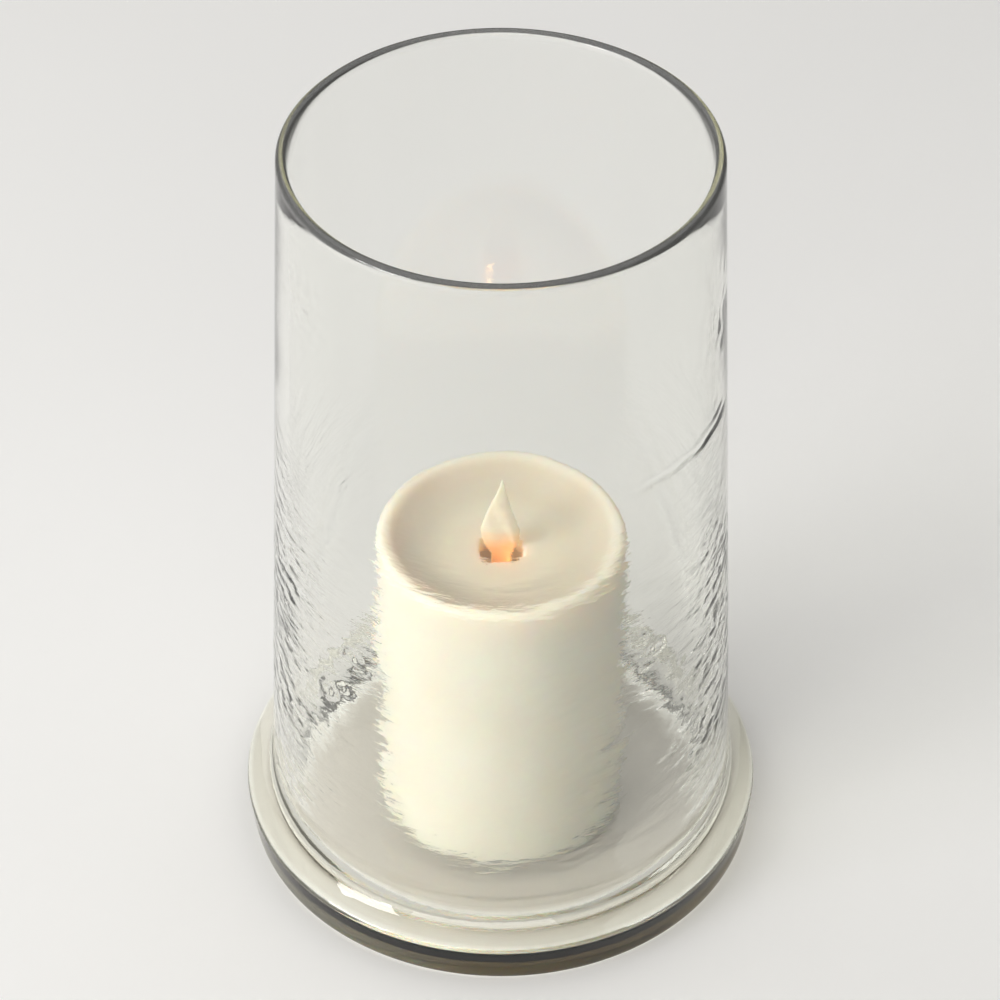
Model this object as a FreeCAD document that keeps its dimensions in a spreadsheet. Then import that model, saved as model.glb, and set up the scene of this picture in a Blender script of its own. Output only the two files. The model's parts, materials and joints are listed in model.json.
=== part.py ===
"""A clear hurricane glass with a flameless pillar candle standing in it.

The origin is the centre of the glass foot's underside, +Z is up and the front is -Y.
Every length is in millimetres and comes from the spreadsheet named Sizes.
"""
import FreeCAD, Part
import math
import os
import Sketcher

Vector = FreeCAD.Vector
Rotation = FreeCAD.Rotation

doc = FreeCAD.newDocument("hurricane_candle")
sheet = doc.addObject("Spreadsheet::Sheet", "Sizes")

SIZES = {
    # hurricane glass
    "glass_height": 250.0,
    "rim_radius": 61.6,
    "rim_wall": 3.2,
    "neck_radius": 72.0,
    "neck_level": 27.0,
    "neck_wall": 3.9,
    "foot_radius": 81.0,
    "foot_underside": 76.4,
    "foot_edge_radius": 3.4,
    "lip_level": 11.6,
    "lip_round": 2.3,
    "flare_round": 14.4,
    "glass_floor": 4.5,
    "floor_round": 9.0,
    # candle shell
    "candle_radius": 38.1,
    "candle_top": 112.4,
    "wax_lift": 0.8,
    "wax_roof": 100.0,
    "dish_level": 105.4,
    "rim_round": 2.6,
    "bore_radius": 32.1,
    "flame_slot_width": 13.4,
    "flame_slot_depth": 12.0,
    # plastic core
    "core_radius": 32.0,
    "core_wall": 1.6,
    "core_port": 9.5,
    "boss_radius": 3.2,
    "boss_length": 12.0,
    "boss_ring": 27.6,
    "boss_angle_front": 34.0,
    "boss_angle_rear": 119.0,
    # base
    "foot_ring": 1.4,
    "foot_ring_width": 2.2,
    "plate_thickness": 2.4,
    "cover_offset": -7.0,
    "cover_radius": 18.8,
    "cover_gap": 0.2,
    "lug_reach": 1.8,
    "lug_width": 5.0,
    "lug_thickness": 1.2,
    "notch_margin": 0.8,
    "cover_turn": 30.0,
    "coin_slot_length": 20.0,
    "coin_slot_width": 2.2,
    "coin_slot_depth": 1.0,
    # cells and contacts
    "cell_radius": 7.25,
    "cell_length": 50.5,
    "cell_button_radius": 2.75,
    "cell_button_length": 1.1,
    "cell_spacing": 15.4,
    "sheet_metal": 0.4,
    "contact_width": 8.0,
    "contact_space": 5.0,
    "spring_wire": 0.4,
    "spring_radius": 4.6,
    "box_clearance": 0.4,
    "box_wall": 1.3,
    "tab_radius": 0.6,
    "strap_width": 5.6,
    # switch
    "switch_offset": 20.0,
    "switch_width": 6.4,
    "switch_length": 13.0,
    "switch_height": 5.2,
    "knob_width": 2.6,
    "knob_length": 3.6,
    "knob_reach": 1.0,
    "switch_travel": 2.0,
    # circuit board and what stands on it
    "board_level": 68.4,
    "board_radius": 25.0,
    "board_thickness": 1.6,
    "chip_width": 3.9,
    "chip_length": 9.9,
    "chip_height": 1.5,
    "resistor_length": 2.0,
    "resistor_width": 1.25,
    "resistor_height": 0.6,
    "coil_core": 2.6,
    "coil_flange": 8.4,
    "coil_winding": 7.4,
    "coil_height": 7.4,
    "flange_thickness": 0.9,
    # flame mechanism
    "tower_radius": 14.0,
    "tower_wall": 1.6,
    "pivot_level": 96.0,
    "wire_radius": 0.5,
    "wire_fit": 0.06,
    "flame_tip": 132.0,
    "flame_shoulder": 112.0,
    "flame_half_width": 5.8,
    "flame_waist": 3.0,
    "flame_thickness": 1.0,
    "tail_level": 83.0,
    "magnet_radius": 3.2,
    "magnet_height": 3.0,
    # lamp
    "led_radius": 1.5,
    "led_length": 4.6,
    "led_flange": 0.4,
    "led_holder_wall": 0.9,
    "led_holder_length": 2.6,
    "led_side": 5.0,
    "led_front": -6.5,
    "led_level": 92.5,
    "glow_level": 109.0,
    # fasteners and leads
    "screw_radius": 1.1,
    "screw_length": 9.0,
    "screw_head": 2.1,
    "screw_head_height": 1.3,
    "lead_radius": 0.6,
}
for row, (alias, value) in enumerate(SIZES.items(), start=1):
    sheet.set(f"A{row}", alias)
    sheet.set(f"B{row}", str(value))
    sheet.setAlias(f"B{row}", alias)
doc.recompute()


class Length:
    """A number together with the spreadsheet expression that gives it."""

    def __init__(self, value, text):
        self.value = value
        self.text = text

    def combine(self, other, sign, value):
        return Length(value, f"({self.text} {sign} {as_length(other).text})")

    def __add__(self, other):
        return self.combine(other, "+", self.value + as_length(other).value)

    def __sub__(self, other):
        return self.combine(other, "-", self.value - as_length(other).value)

    def __mul__(self, other):
        return self.combine(other, "*", self.value * as_length(other).value)

    def __truediv__(self, other):
        return self.combine(other, "/", self.value / as_length(other).value)

    def __neg__(self):
        return Length(-self.value, f"(0 - {self.text})")


def as_length(number):
    """Wrap a bare number, and leave a Length as it is."""
    if isinstance(number, Length):
        return number
    return Length(float(number), repr(float(number)))


def size(alias):
    """The Length kept in the cell with this alias."""
    return Length(float(sheet.get(alias)), f"Sizes.{alias}")


# ---------------------------------------------------------------- shared builders

SUBPARTS = []


def bind(feature, **sizes):
    """Bind properties of a feature to Lengths. A double underscore stands for a dot."""
    for name, length in sizes.items():
        feature.setExpression(name.replace("__", "."), as_length(length).text)


def place(feature, x=0, y=0, z=0):
    """Bind a feature's position to Lengths."""
    bind(feature, Placement__Base__x=x, Placement__Base__y=y, Placement__Base__z=z)


def new_body(label):
    """An empty PartDesign body that becomes the sub-part of that name."""
    body = doc.addObject("PartDesign::Body", label)
    body.Label = label
    SUBPARTS.append(body)
    return body


def finish_primitive(feature, label):
    """Give a Part feature its sub-part name."""
    feature.Label = label
    SUBPARTS.append(feature)
    return feature


def new_sketch(body, name, plane):
    """An empty sketch on one of the body's own origin planes."""
    support = next(item for item in body.Origin.OriginFeatures if item.Role == plane)
    sketch = body.newObject("Sketcher::SketchObject", f"{body.Name}_{name}")
    sketch.AttachmentSupport = (support, [""])
    sketch.MapMode = "FlatFace"
    return sketch


def pin_point(sketch, geometry, end, x, y):
    """Fix one point of a sketch at an expression of the sizes."""
    for kind, coordinate in (("DistanceX", x), ("DistanceY", y)):
        length = as_length(coordinate)
        constraint = sketch.addConstraint(Sketcher.Constraint(kind, -1, 1, geometry, end, length.value))
        sketch.setExpression(f"Constraints[{constraint}]", length.text)


def draw_arc(sketch, start, end, radius):
    """An arc from start to end: anticlockwise for a positive radius, clockwise for a negative one."""
    if radius.value < 0:
        start, end = end, start
    a = Vector(start[0].value, start[1].value, 0)
    b = Vector(end[0].value, end[1].value, 0)
    chord = b - a
    reach = abs(radius.value)
    rise = math.sqrt(max(reach**2 - (chord.Length / 2) ** 2, 0.0))
    centre = (a + b) / 2 + Vector(-chord.y, chord.x, 0).normalize() * rise
    first = math.atan2(a.y - centre.y, a.x - centre.x)
    last = math.atan2(b.y - centre.y, b.x - centre.x)
    circle = Part.Circle(centre, Vector(0, 0, 1), reach)
    geometry = sketch.addGeometry(Part.ArcOfCircle(circle, first, last), False)
    text = radius.text if radius.value > 0 else (-radius).text
    constraint = sketch.addConstraint(Sketcher.Constraint("Radius", geometry, reach))
    sketch.setExpression(f"Constraints[{constraint}]", text)
    return (geometry, 1, 2) if radius.value > 0 else (geometry, 2, 1)


def draw_line(sketch, start, end):
    """A straight edge from start to end."""
    a = Vector(start[0].value, start[1].value, 0)
    b = Vector(end[0].value, end[1].value, 0)
    return (sketch.addGeometry(Part.LineSegment(a, b), False), 1, 2)


def outline(body, name, plane, corners, closed=True):
    """A sketch through corners. A corner is (x, y), or (x, y, radius) where an arc leaves it."""
    sketch = new_sketch(body, name, plane)
    points = [[as_length(number) for number in corner] for corner in corners]
    edges = []
    for start, end in zip(points, points[1:] + points[:1] if closed else points[1:]):
        if len(start) == 3:
            edges.append(draw_arc(sketch, start, end, start[2]))
        else:
            edges.append(draw_line(sketch, start, end))
    for (geometry, first, _), point in zip(edges, points):
        pin_point(sketch, geometry, first, point[0], point[1])
    if not closed:
        pin_point(sketch, edges[-1][0], edges[-1][2], points[-1][0], points[-1][1])
    for (before, _, last), (after, first, _) in zip(edges, edges[1:] + edges[:1] if closed else edges[1:]):
        sketch.addConstraint(Sketcher.Constraint("Coincident", before, last, after, first))
    return sketch


def circles(body, name, plane, centres, radius):
    """A sketch of equal circles at the given centres."""
    sketch = new_sketch(body, name, plane)
    radius = as_length(radius)
    for x, y in centres:
        x, y = as_length(x), as_length(y)
        circle = Part.Circle(Vector(x.value, y.value, 0), Vector(0, 0, 1), radius.value)
        geometry = sketch.addGeometry(circle, False)
        pin_point(sketch, geometry, 3, x, y)
        constraint = sketch.addConstraint(Sketcher.Constraint("Radius", geometry, radius.value))
        sketch.setExpression(f"Constraints[{constraint}]", radius.text)
    return sketch


def rectangle(body, name, plane, left, bottom, right, top):
    """A rectangular sketch between two corners."""
    return outline(body, name, plane, [(left, bottom), (right, bottom), (right, top), (left, top)])


def oblong(body, name, plane, half_length, radius):
    """A slot-shaped sketch that is long along its own Y axis."""
    corners = [(radius, -half_length), (radius, half_length, radius), (0, half_length + radius, radius)]
    corners += [(-radius, half_length), (-radius, -half_length, radius), (0, -half_length - radius, radius)]
    return outline(body, name, plane, corners)


def revolve(body, profile):
    """Turn a profile once round the body's Z axis."""
    feature = body.newObject("PartDesign::Revolution", f"{body.Name}_revolution")
    feature.Profile = profile
    feature.ReferenceAxis = (profile, ["V_Axis"])
    feature.Angle = 360
    return feature


def pad(body, sketch, length, start=None, midplane=False):
    """Raise a sketch, from its own plane or from an offset above it."""
    feature = body.newObject("PartDesign::Pad", f"{sketch.Name}_pad")
    feature.Profile = sketch
    bind(feature, Length=length)
    feature.Midplane = midplane
    if start is not None:
        bind(sketch, AttachmentOffset__Base__z=start)
    return feature


def cut(body, sketch, depth, start=None, midplane=False, upwards=True):
    """Cut a sketch into the body and make sure that it removed material."""
    doc.recompute()
    volume = body.Shape.Volume
    feature = body.newObject("PartDesign::Pocket", f"{sketch.Name}_pocket")
    feature.Profile = sketch
    bind(feature, Length=depth)
    feature.Midplane = midplane
    feature.Reversed = upwards
    if start is not None:
        bind(sketch, AttachmentOffset__Base__z=start)
    doc.recompute()
    if body.Shape.Volume > volume - 1e-3:
        raise RuntimeError(f"{feature.Name} cut nothing")
    return feature


def repeat_round(body, features, count):
    """Repeat features round the body's Z axis."""
    feature = body.newObject("PartDesign::PolarPattern", f"{features[-1].Name}_pattern")
    feature.Originals = features
    axis = next(item for item in body.Origin.OriginFeatures if item.Role == "Z_Axis")
    feature.Axis = (axis, [""])
    feature.Angle = 360
    feature.Occurrences = count
    body.Tip = feature
    return feature


def cylinder(name, radius, height, position=(0, 0, 0), rotation=None):
    """A Part cylinder bound to the sheet."""
    feature = doc.addObject("Part::Cylinder", name)
    bind(feature, Radius=radius, Height=height)
    if rotation is not None:
        feature.Placement.Rotation = rotation
    place(feature, *position)
    return feature


def block(name, width, depth, height, centre_x, centre_y, base_z):
    """A Part box centred in plan and bound to the sheet."""
    feature = doc.addObject("Part::Box", name)
    bind(feature, Length=width, Width=depth, Height=height)
    corner_x = as_length(centre_x) - as_length(width) / 2
    corner_y = as_length(centre_y) - as_length(depth) / 2
    place(feature, corner_x, corner_y, base_z)
    return feature


def fuse(name, shapes):
    """One solid made of several Part features."""
    feature = doc.addObject("Part::MultiFuse", name)
    feature.Shapes = shapes
    return feature


def subtract(name, base, tool):
    """One Part feature cut away from another."""
    feature = doc.addObject("Part::Cut", name)
    feature.Base = base
    feature.Tool = tool
    return feature


# ---------------------------------------------------------------- levels shared by several pieces

CANDLE_BASE = size("glass_floor")
PLATE_BASE = CANDLE_BASE + size("foot_ring")
PLATE_TOP = PLATE_BASE + size("plate_thickness")
COVER_TOP = PLATE_TOP + size("lug_thickness") + size("cover_gap")
CELL_BASE = COVER_TOP + size("sheet_metal")
CELL_TOP = CELL_BASE + size("cell_length")
BOX_ROOF = CELL_TOP + size("contact_space")
BOARD_TOP = size("board_level") + size("board_thickness")
HALF_SPACING = size("cell_spacing") / 2
SCREW_REACH = size("board_radius") * 0.84
BOSS_ANGLES = [math.radians(size(alias).value * side) for alias in ("boss_angle_front", "boss_angle_rear")
               for side in (1, -1)]
BOSSES = [(size("boss_ring") * math.cos(angle), size("boss_ring") * math.sin(angle)) for angle in BOSS_ANGLES]


# ---------------------------------------------------------------- the vessel

def hurricane_glass():
    body = new_body("hurricane_glass")
    foot = size("foot_radius")
    underside = size("foot_underside")
    edge = size("foot_edge_radius")
    lip = size("lip_level")
    lip_round = size("lip_round")
    neck = size("neck_radius")
    neck_level = size("neck_level")
    rim = size("rim_radius")
    rim_wall = size("rim_wall")
    rim_start = size("glass_height") - rim_wall / 2
    floor = size("glass_floor")
    floor_round = size("floor_round")
    profile = outline(body, "profile", "XZ_Plane", [
        (0, 0),
        (underside, 0, edge),
        (underside + edge * 0.85, edge * 0.8),
        (foot, lip, lip_round),
        (foot - lip_round, lip + lip_round * 1.25, -size("flare_round")),
        (neck, neck_level),
        (rim, rim_start, rim_wall / 2),
        (rim - rim_wall / 2, size("glass_height"), rim_wall / 2),
        (rim - rim_wall, rim_start),
        (neck - size("neck_wall"), floor + floor_round, -floor_round),
        (neck - size("neck_wall") - floor_round, floor),
        (0, floor),
    ])
    revolve(body, profile)


# ---------------------------------------------------------------- candle: shell, core and base

def wax_shell():
    body = new_body("wax_shell")
    outer = size("candle_radius")
    bottom = CANDLE_BASE + size("wax_lift")
    top = size("candle_top")
    bead = size("rim_round")
    dish = size("dish_level")
    bore = size("bore_radius")
    roof = size("wax_roof")
    profile = outline(body, "profile", "XZ_Plane", [
        (0, roof),
        (bore, roof),
        (bore, bottom),
        (outer - 1, bottom, 1),
        (outer, bottom + 1),
        (outer, top - bead, bead),
        (outer - bead, top, bead * 2),
        (outer - bead * 2.1, top - bead * 0.7, -bead * 8),
        (outer * 0.42, dish + 0.5),
        (0, dish),
    ])
    revolve(body, profile)
    half_width = size("flame_slot_width") / 2
    half_depth = size("flame_slot_depth") / 2
    corner = half_depth * 0.6
    slot = outline(body, "flame_slot", "XY_Plane", [
        (half_width, corner - half_depth),
        (half_width, half_depth - corner, corner),
        (half_width - corner, half_depth),
        (corner - half_width, half_depth, corner),
        (-half_width, half_depth - corner),
        (-half_width, corner - half_depth, corner),
        (corner - half_width, -half_depth),
        (half_width - corner, -half_depth, corner),
    ])
    cut(body, slot, dish - roof + 2, start=roof - 1)


def core_sleeve():
    body = new_body("core_sleeve")
    place(body, z=PLATE_TOP)
    outer = size("core_radius")
    wall = size("core_wall")
    height = size("wax_roof") - PLATE_TOP
    profile = outline(body, "profile", "XZ_Plane", [
        (outer - wall, 0),
        (outer, 0),
        (outer, height),
        (size("core_port"), height),
        (size("core_port"), height - wall),
        (outer - wall, height - wall),
    ])
    revolve(body, profile)
    pad(body, circles(body, "bosses", "XY_Plane", BOSSES, size("boss_radius")), size("boss_length"))
    cut(body, circles(body, "pilots", "XY_Plane", BOSSES, size("screw_radius")), size("boss_length"))


def base_plate():
    body = new_body("base_plate")
    place(body, z=CANDLE_BASE)
    outer = size("core_radius")
    ring = size("foot_ring")
    top = ring + size("plate_thickness")
    profile = outline(body, "profile", "XZ_Plane", [
        (0, ring),
        (outer - size("foot_ring_width"), ring),
        (outer - size("foot_ring_width"), 0),
        (outer, 0),
        (outer, top),
        (0, top),
    ])
    revolve(body, profile)
    thickness = size("plate_thickness") + 1
    start = ring - 0.5
    offset = size("cover_offset")
    hole = circles(body, "cover_hole", "XY_Plane", [(offset, 0)], size("cover_radius") + size("cover_gap"))
    cut(body, hole, thickness, start=start)
    for index in range(3):
        cut(body, bayonet_notch(body, index), thickness, start=start)
    holes = circles(body, "screw_holes", "XY_Plane", BOSSES, size("screw_radius") + 0.15)
    cut(body, holes, thickness, start=start)
    sink = circles(body, "screw_sinks", "XY_Plane", BOSSES, size("screw_head") + 0.2)
    cut(body, sink, size("screw_head_height"), start=ring)
    half_width = size("knob_width") / 2 + 0.3
    half_length = size("knob_length") / 2 + size("switch_travel") + 0.3
    switch = size("switch_offset")
    window = rectangle(body, "switch_window", "XY_Plane",
                       switch - half_width, -half_length, switch + half_width, half_length)
    cut(body, window, thickness, start=start)


def bayonet_notch(body, index):
    """The notch that one lug of the battery cover drops through."""
    turn = math.radians(120 * index + size("cover_turn").value)
    reach = size("cover_radius") + size("lug_reach") + 0.3
    half_width = size("lug_width") / 2 + size("notch_margin")
    inner = size("cover_radius") * 0.8
    corners = []
    ends = (inner, -half_width), (reach, -half_width), (reach, half_width), (inner, half_width)
    for along, across in ends:
        x = size("cover_offset") + along * math.cos(turn) - across * math.sin(turn)
        y = along * math.sin(turn) + across * math.cos(turn)
        corners.append((x, y))
    return outline(body, f"notch_{index}", "XY_Plane", corners)


def battery_cover():
    body = new_body("battery_cover")
    place(body, x=size("cover_offset"), z=PLATE_BASE)
    height = COVER_TOP - PLATE_BASE
    pad(body, circles(body, "disc", "XY_Plane", [(0, 0)], size("cover_radius")), height)
    half_width = size("lug_width") / 2
    lug = rectangle(body, "lug", "XY_Plane", size("cover_radius") * 0.8, -half_width,
                    size("cover_radius") + size("lug_reach"), half_width)
    lug_pad = pad(body, lug, size("lug_thickness"), start=height - size("lug_thickness"))
    doc.recompute()
    repeat_round(body, [lug_pad], 3)
    half_slot = size("coin_slot_width") / 2
    reach = size("coin_slot_length") / 2
    slot = rectangle(body, "coin_slot", "XY_Plane", -reach, -half_slot, reach, half_slot)
    cut(body, slot, size("coin_slot_depth"))


def base_screws():
    """Four self-tapping screws, one node because they are identical."""
    body = new_body("base_screws")
    place(body, z=PLATE_BASE)
    pad(body, circles(body, "heads", "XY_Plane", BOSSES, size("screw_head")), size("screw_head_height"))
    shafts = circles(body, "shafts", "XY_Plane", BOSSES, size("screw_radius") - 0.02)
    pad(body, shafts, size("screw_length"))


# ---------------------------------------------------------------- candle: power

def battery_box():
    body = new_body("battery_box")
    place(body, x=size("cover_offset"), z=CELL_BASE + 0.3)
    inner = size("cell_radius") + size("box_clearance")
    outer = inner + size("box_wall")
    height = BOX_ROOF - CELL_BASE - 0.3
    pad(body, oblong(body, "outside", "XY_Plane", HALF_SPACING, outer), height + size("box_wall"))
    cut(body, oblong(body, "inside", "XY_Plane", HALF_SPACING, inner), height)
    tabs = [(0, HALF_SPACING), (0, -HALF_SPACING)]
    holes = circles(body, "tab_holes", "XY_Plane", tabs, size("tab_radius") * 2)
    cut(body, holes, size("box_wall") + 1, start=height - 0.5)
    centre = -size("cover_offset")
    reach = SCREW_REACH + 3
    half_width = size("strap_width") / 2
    strap_height = size("board_level") - BOX_ROOF
    strap = rectangle(body, "strap", "XY_Plane", centre - reach, -half_width, centre + reach, half_width)
    pad(body, strap, strap_height, start=height)
    screws = circles(body, "screw_holes", "XY_Plane", [(centre - SCREW_REACH, 0), (centre + SCREW_REACH, 0)],
                     size("screw_radius") + 0.1)
    cut(body, screws, strap_height, start=height)


def aa_cell(label, side, button_up):
    """One AA cell. The two stand side by side, head to tail."""
    body = new_body(label)
    place(body, x=size("cover_offset"), y=HALF_SPACING * side, z=CELL_BASE)
    can = size("cell_radius")
    button = size("cell_button_radius")
    step = size("cell_button_length")
    total = size("cell_length")
    if button_up:
        corners = [(0, 0), (can - 0.8, 0, 0.8), (can, 0.8), (can, total - step), (button, total - step)]
        corners += [(button, total), (0, total)]
    else:
        corners = [(0, 0), (button, 0), (button, step), (can, step), (can, total - 0.8, 0.8)]
        corners += [(can - 0.8, total), (0, total)]
    revolve(body, outline(body, "profile", "XZ_Plane", corners))


def positive_contact():
    """A nickel-plated leaf that hangs from the box roof and presses on the cell's button."""
    body = new_body("positive_contact")
    place(body, x=size("cover_offset"), y=HALF_SPACING, z=CELL_TOP)
    metal = size("sheet_metal")
    height = size("contact_space")
    half = size("contact_width") / 2
    leaf = outline(body, "leaf", "XZ_Plane", [
        (-half * 0.5, 0),
        (half * 0.5, 0),
        (half, height - metal),
        (half, height),
        (-half, height),
        (-half, height - metal),
        (half - metal * 2, height - metal),
        (half * 0.5 - metal, metal),
        (-half * 0.5, metal),
    ])
    pad(body, leaf, size("contact_width") * 0.6, midplane=True)
    tab = circles(body, "tab", "XY_Plane", [(0, 0)], size("tab_radius"))
    pad(body, tab, size("board_level") - BOX_ROOF, start=height)


def negative_contact():
    """A conical spring under a plate. The spring presses on the cell's flat end."""
    metal = size("sheet_metal").value
    wire = size("spring_wire").value
    radius = size("spring_radius").value
    drop = size("contact_space").value
    turns = 3
    lean = math.degrees(math.atan2(radius * 0.35, drop))
    travel = drop - metal - 2 * wire
    helix = Part.makeHelix(travel / turns, travel, radius, -lean)
    start = Vector(radius, 0, 0)
    section = Part.Wire([Part.makeCircle(wire, start, Vector(0, 1, 0))])
    spring = Part.Wire(helix.Edges).makePipeShell([section], True, True)
    spring.rotate(Vector(0, 0, 0), Vector(1, 0, 0), 180)
    spring.translate(Vector(0, 0, drop - metal - wire * 0.9))
    half = radius + 0.5
    plate = Part.makeBox(2 * half, 2 * half, metal, Vector(-half, -half, drop - metal))
    tab_length = (size("board_level") - BOX_ROOF).value
    tab = Part.makeCylinder(size("tab_radius").value, tab_length, Vector(0, 0, drop))
    feature = doc.addObject("Part::Feature", "negative_contact")
    feature.Shape = plate.fuse([spring, tab])
    feature.Placement = FreeCAD.Placement(
        Vector(size("cover_offset").value, -HALF_SPACING.value, CELL_TOP.value), Rotation())
    finish_primitive(feature, "negative_contact")


def bridge_contact():
    """The disc on the battery cover that joins the two cells."""
    disc = cylinder("bridge_disc", size("cover_radius") - 2.6, size("sheet_metal"),
                    (size("cover_offset"), 0, COVER_TOP))
    finish_primitive(disc, "bridge_contact")


def switch_body():
    body = new_body("switch_body")
    place(body, x=size("switch_offset"), z=PLATE_TOP)
    half_width = size("switch_width") / 2
    half_length = size("switch_length") / 2
    pad(body, rectangle(body, "case", "XY_Plane", -half_width, -half_length, half_width, half_length),
        size("switch_height"))
    half_slot = size("knob_width") / 2 + 0.3
    reach = size("knob_length") / 2 + size("switch_travel") + 0.3
    slot = rectangle(body, "slot", "XY_Plane", -half_slot, -reach, half_slot, reach)
    cut(body, slot, size("switch_height") * 0.5)


def switch_knob():
    body = new_body("switch_knob")
    place(body, x=size("switch_offset"), z=PLATE_BASE - size("knob_reach"))
    half_width = size("knob_width") / 2
    half_length = size("knob_length") / 2
    height = size("knob_reach") + size("plate_thickness") + size("switch_height") * 0.4
    pad(body, rectangle(body, "stem", "XY_Plane", -half_width, -half_length, half_width, half_length), height)
    grip = circles(body, "grip", "XZ_Plane", [(0, 0)], size("knob_reach") * 0.35)
    cut(body, grip, size("knob_length") * 0.5, midplane=True)


def lead(label, x, y, low, high, shift):
    """An insulated wire from one level up to another, stepping sideways on two equal bends."""
    body = new_body(label)
    place(body, x=x, y=y, z=low)
    rise = as_length(high) - low
    bend = rise / 3
    half = as_length(shift) / 2
    path = outline(body, "path", "XZ_Plane", [
        (0, 0),
        (0, rise / 2 - bend),
        (half, rise / 2),
        (half * 2, rise / 2 + bend),
        (half * 2, rise),
    ], closed=False)
    wire = circles(body, "section", "XY_Plane", [(0, 0)], size("lead_radius"))
    feature = body.newObject("PartDesign::AdditivePipe", f"{label}_pipe")
    feature.Profile = wire
    feature.Spine = (path, [f"Edge{number}" for number in range(1, 5)])
    feature.Transition = "Round corner"


# ---------------------------------------------------------------- candle: electronics

def circuit_board():
    body = new_body("circuit_board")
    place(body, z=size("board_level"))
    pad(body, circles(body, "disc", "XY_Plane", [(0, 0)], size("board_radius")), size("board_thickness"))
    screws = [(SCREW_REACH, 0), (-SCREW_REACH, 0)]
    holes = circles(body, "screw_holes", "XY_Plane", screws, size("screw_radius") + 0.1)
    cut(body, holes, size("board_thickness"))


def board_screws():
    """Two screws through the battery box's strap and the board into the tower's feet."""
    heads = []
    for side in (1, -1):
        across = SCREW_REACH * side
        heads.append(cylinder(f"board_screw_shaft_{side + 1}", size("screw_radius") - 0.02,
                              size("screw_length"), (across, 0, BOX_ROOF)))
        heads.append(cylinder(f"board_screw_head_{side + 1}", size("screw_head"), size("screw_head_height"),
                              (across, 0, BOX_ROOF - size("screw_head_height"))))
    finish_primitive(fuse("board_screw_set", heads), "board_screws")


def control_chip():
    """A small-outline chip with a row of legs on each side."""
    centre_x = size("board_radius") * 0.35
    centre_y = size("board_radius") * 0.72
    width = size("chip_width")
    length = size("chip_length")
    pieces = [block("chip_case", length, width, size("chip_height"), centre_x, centre_y, BOARD_TOP + 0.2)]
    for index in range(4):
        leg_x = centre_x + length * (index - 1.5) / 4.2
        pieces.append(block(f"chip_legs_{index}", 0.5, width + 2, 0.3, leg_x, centre_y, BOARD_TOP))
    pieces.append(block("chip_pad", length * 0.8, width * 0.6, 0.4, centre_x, centre_y, BOARD_TOP))
    finish_primitive(fuse("chip", pieces), "control_chip")


def board_parts():
    """The smoothing capacitor, the timing crystal, the coil driver and three resistors."""
    reach = size("board_radius")
    can = cylinder("capacitor_can", 3, 6.5, (-reach * 0.4, reach * 0.68, BOARD_TOP))
    finish_primitive(can, "smoothing_capacitor")
    crystal = block("crystal_can", 3.2, 8, 2.6, -reach * 0.62, -reach * 0.42, BOARD_TOP)
    finish_primitive(crystal, "timing_crystal")
    driver = block("driver_case", 3, 1.6, 1.1, reach * 0.62, -reach * 0.42, BOARD_TOP)
    finish_primitive(driver, "coil_driver")
    for index in range(3):
        chip = block(f"resistor_{index}", size("resistor_length"), size("resistor_width"),
                     size("resistor_height"), reach * (0.16 * index - 0.16), -reach * 0.78, BOARD_TOP)
        finish_primitive(chip, f"chip_resistor_{index + 1}")


def coil():
    """The drive coil: a flanged bobbin and the copper wound on it."""
    bobbin = new_body("coil_bobbin")
    place(bobbin, z=BOARD_TOP)
    core = size("coil_core")
    flange = size("coil_flange")
    sheet_thickness = size("flange_thickness")
    height = size("coil_height")
    revolve(bobbin, outline(bobbin, "profile", "XZ_Plane", [
        (0, 0),
        (flange, 0),
        (flange, sheet_thickness),
        (core, sheet_thickness),
        (core, height - sheet_thickness),
        (flange, height - sheet_thickness),
        (flange, height),
        (0, height),
    ]))
    winding = new_body("coil_winding")
    place(winding, z=BOARD_TOP)
    outer = size("coil_winding")
    revolve(winding, outline(winding, "profile", "XZ_Plane", [
        (core + 0.05, sheet_thickness),
        (outer, sheet_thickness),
        (outer, height - sheet_thickness),
        (core + 0.05, height - sheet_thickness),
    ]))


# ---------------------------------------------------------------- candle: flame mechanism

def flame_tower():
    """The tube that hangs the flame over the coil. Two feet take the board screws."""
    body = new_body("flame_tower")
    place(body, z=BOARD_TOP)
    outer = size("tower_radius")
    inner = outer - size("tower_wall")
    height = size("wax_roof") - size("core_wall") - BOARD_TOP
    profile = outline(body, "profile", "XZ_Plane", [(inner, 0), (outer, 0), (outer, height), (inner, height)])
    revolve(body, profile)
    for index, side in enumerate((1, -1)):
        near = (outer - 0.8) * side
        far = (SCREW_REACH + 3) * side
        left, right = (near, far) if side == 1 else (far, near)
        foot = rectangle(body, f"foot_{index}", "XY_Plane", left, -3, right, 3)
        pad(body, foot, size("screw_length") * 0.6)
    screws = [(SCREW_REACH, 0), (-SCREW_REACH, 0)]
    holes = circles(body, "screw_holes", "XY_Plane", screws, size("screw_radius"))
    cut(body, holes, size("screw_length") * 0.6)
    centre = [(0, size("pivot_level") - BOARD_TOP)]
    axle = circles(body, "axle_holes", "XZ_Plane", centre, size("wire_radius"))
    cut(body, axle, outer * 2 + 2, midplane=True)


def pivot_wire():
    """The bare wire that the flame hangs on."""
    length = size("tower_radius") * 2
    wire = cylinder("pivot_rod", size("wire_radius"), length,
                    (0, size("tower_radius"), size("pivot_level")), Rotation(Vector(1, 0, 0), 90))
    finish_primitive(wire, "pivot_wire")


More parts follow.
